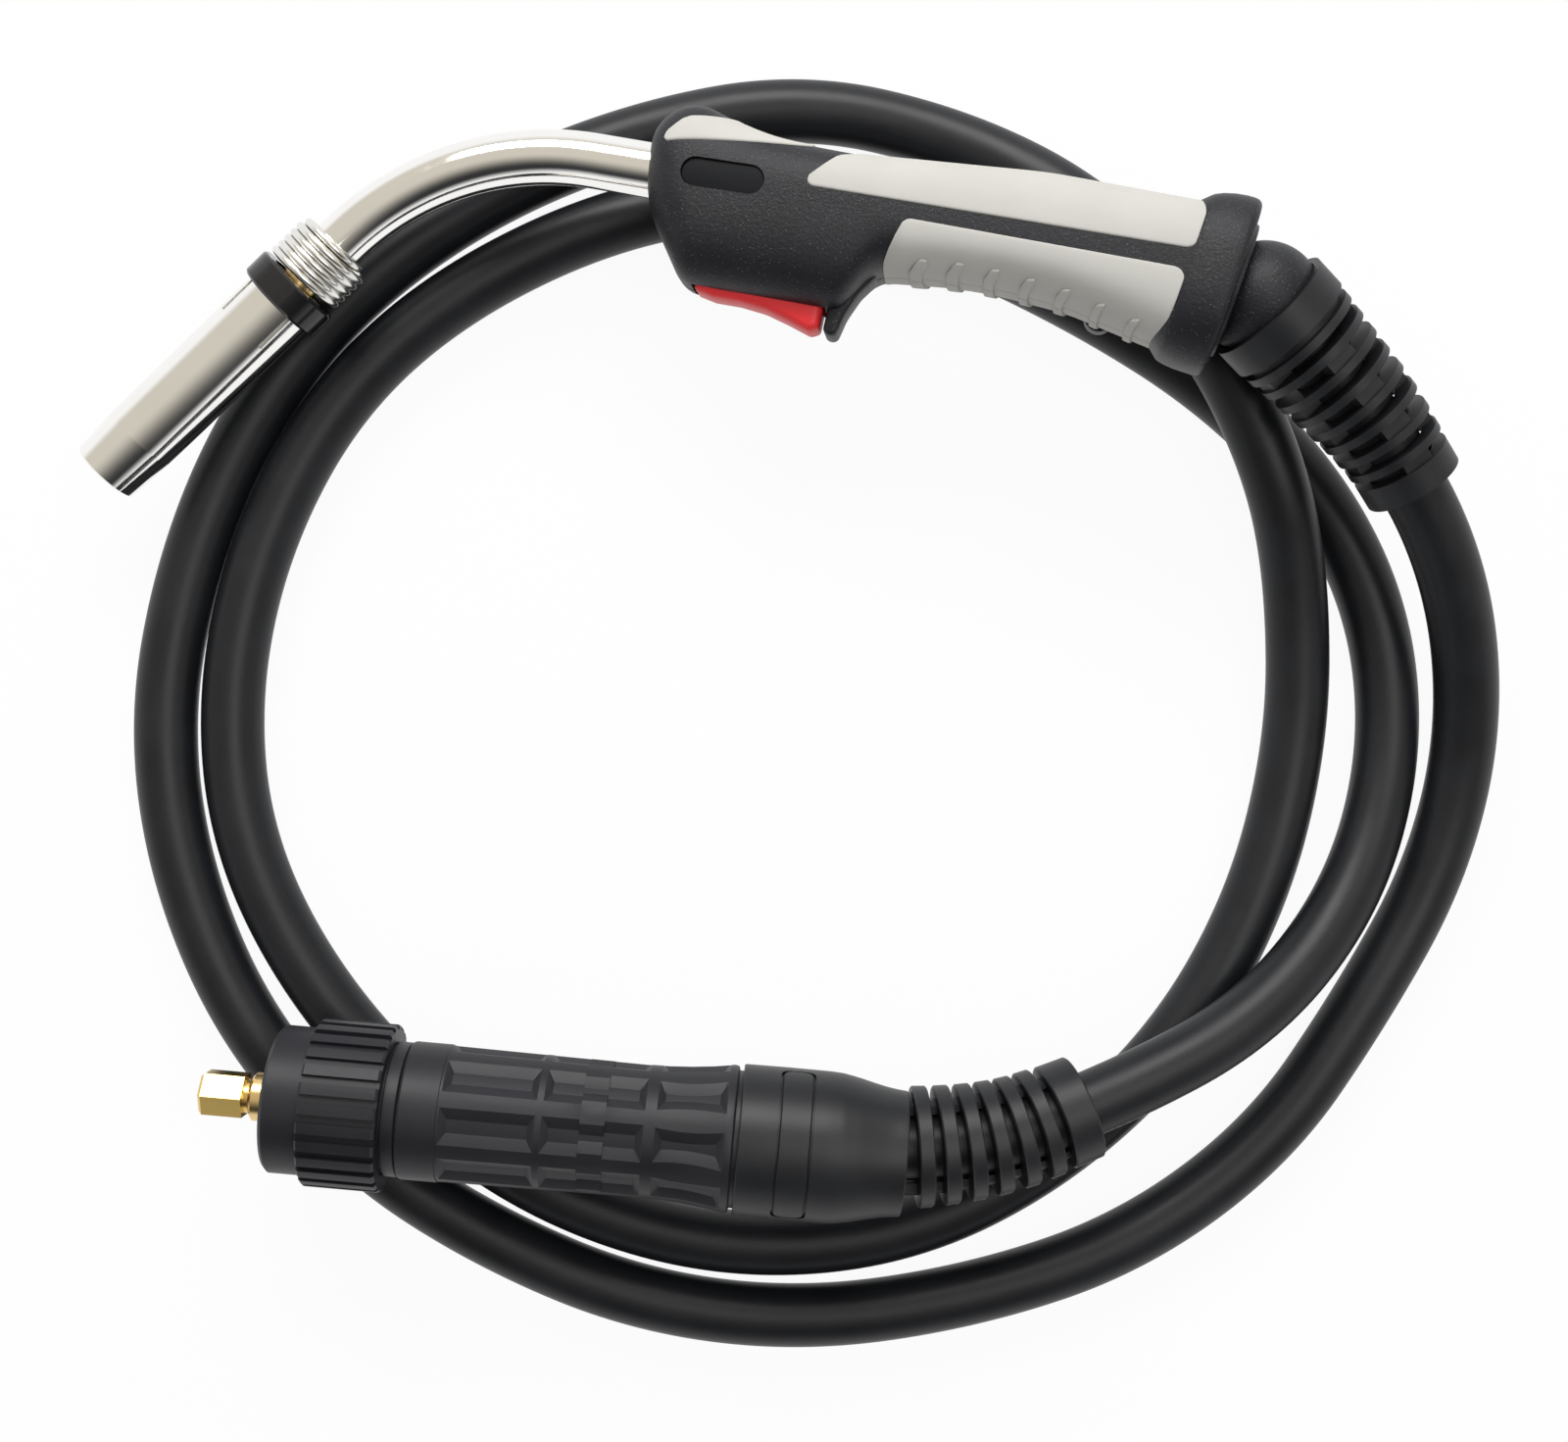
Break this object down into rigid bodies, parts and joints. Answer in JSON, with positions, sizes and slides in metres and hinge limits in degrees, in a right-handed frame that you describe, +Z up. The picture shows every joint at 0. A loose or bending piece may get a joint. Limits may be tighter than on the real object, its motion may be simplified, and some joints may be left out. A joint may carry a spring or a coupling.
{
  "type": "mig welding torch",
  "caption": "Gas-cooled MIG welding torch: swan neck with pull-off nozzle, two-tone handle with trigger, swivel boot, coiled power cable and central connector plug.",
  "frame": {"origin": "on the plug's axis at its shoulder, where the spigot stands on the front face of the housing", "axes": "-X along the plug's spigot out of the plug, +Z up from the surface that the torch lies on"},
  "size_m": [0.3975, 0.3589, 0.0758],
  "materials": {
    "cable_rubber": "satin extruded rubber",
    "boot_rubber": "satin moulded rubber",
    "plug_plastic": "fine matt moulded plastic",
    "brass": "turned",
    "gold_brass": "bright turned",
    "o_ring_rubber": "soft",
    "copper": "drawn copper",
    "shell_plastic": "grained moulded plastic",
    "badge_plastic": "smooth moulded plastic",
    "pad_rubber": "soft-touch moulded rubber",
    "trigger_red": "satin moulded plastic",
    "steel": "bright",
    "switch_plastic": "moulded",
    "chrome": "polished plating",
    "insulation": "extruded",
    "ceramic": "fired",
    "gloss_black": "glossy moulded"
  },
  "bodies": {
    "cable_and_plug": {"power_cable": "cable_rubber", "gas_spigot": "brass", "spigot_o_rings": "o_ring_rubber", "liner_nut": "gold_brass", "plug_body": "brass", "plug_housing": "plug_plastic", "plug_grip": "plug_plastic", "plug_boot": "boot_rubber", "cable_ferrule": "copper", "cable_support": "boot_rubber"},
    "swivel": {"swivel_ball": "shell_plastic"},
    "trigger": {"trigger": "trigger_red"},
    "switch_plunger": {"switch_plunger": "switch_plastic"},
    "gas_nozzle": {"gas_nozzle": "chrome"},
    "plug_nut": {"plug_nut": "plug_plastic"},
    "contact_pin_a": {"contact_pin_a": "brass"},
    "contact_pin_b": {"contact_pin_b": "brass"},
    "handle": {"badge_far": "badge_plastic", "badge_near": "badge_plastic", "contact_tip": "copper", "crimp_ferrule": "copper", "front_pad_far": "pad_rubber", "front_pad_near": "pad_rubber", "gas_diffuser": "ceramic", "handle_shell_far": "shell_plastic", "handle_shell_near": "shell_plastic", "inner_cable": "cable_rubber", "lower_pad_far": "pad_rubber", "lower_pad_near": "pad_rubber", "micro_switch": "switch_plastic", "neck_block": "brass", "neck_conductor": "copper", "neck_insulation": "insulation", "neck_tube": "chrome", "nozzle_insulator": "gloss_black", "nozzle_spring": "steel", "rear_collar": "shell_plastic", "shell_screws": "steel", "tip_holder": "brass", "trigger_pin": "steel", "upper_pad_far": "pad_rubber", "upper_pad_near": "pad_rubber", "wire_liner": "steel"}
  },
  "joints": [
    {"name": "swivel_twist", "type": "hinge", "parent": "cable_and_plug", "child": "swivel", "pos_m": [0.228, 0.232, 0.017], "axis": [-0.7708, 0.6022, 0.2079], "range_deg": [0, 25]},
    {"name": "handle_swing", "type": "hinge", "parent": "swivel", "child": "handle", "pos_m": [0.228, 0.232, 0.017], "axis": [0.104, -0.0109, -0.9945], "range_deg": [0, 55]},
    {"name": "trigger_pull", "type": "hinge", "parent": "handle", "child": "trigger", "pos_m": [0.08388, 0.22704, 0.00199], "axis": [-0.104, 0.0109, 0.9945], "range_deg": [0, 4.4], "stiffness_Nm_per_rad": 1.5, "springref_deg": -2.86},
    {"name": "plunger_slide", "type": "slide", "parent": "handle", "child": "switch_plunger", "axis": [0.1045, 0.9945, 0], "range_m": [0, 0.0019]},
    {"name": "nozzle_pull", "type": "slide", "parent": "handle", "child": "gas_nozzle", "axis": [-0.6659, -0.7435, -0.0614], "range_m": [0, 0.06]},
    {"name": "plug_nut_turn", "type": "hinge", "parent": "cable_and_plug", "child": "plug_nut", "pos_m": [0, 0, 0], "axis": [1, 0, 0], "continuous": true},
    {"name": "contact_pin_a_push", "type": "slide", "parent": "cable_and_plug", "child": "contact_pin_a", "axis": [1, 0, 0], "range_m": [0, 0.003], "stiffness_N_per_m": 400, "springref_m": -0.002},
    {"name": "contact_pin_b_push", "type": "slide", "parent": "cable_and_plug", "child": "contact_pin_b", "axis": [1, 0, 0], "range_m": [0, 0.003], "stiffness_N_per_m": 400, "springref_m": -0.002}
  ],
  "couplings": [
    {"joint": "plunger_slide", "follows": "trigger_pull", "m_per_rad": 0.0206}
  ]
}
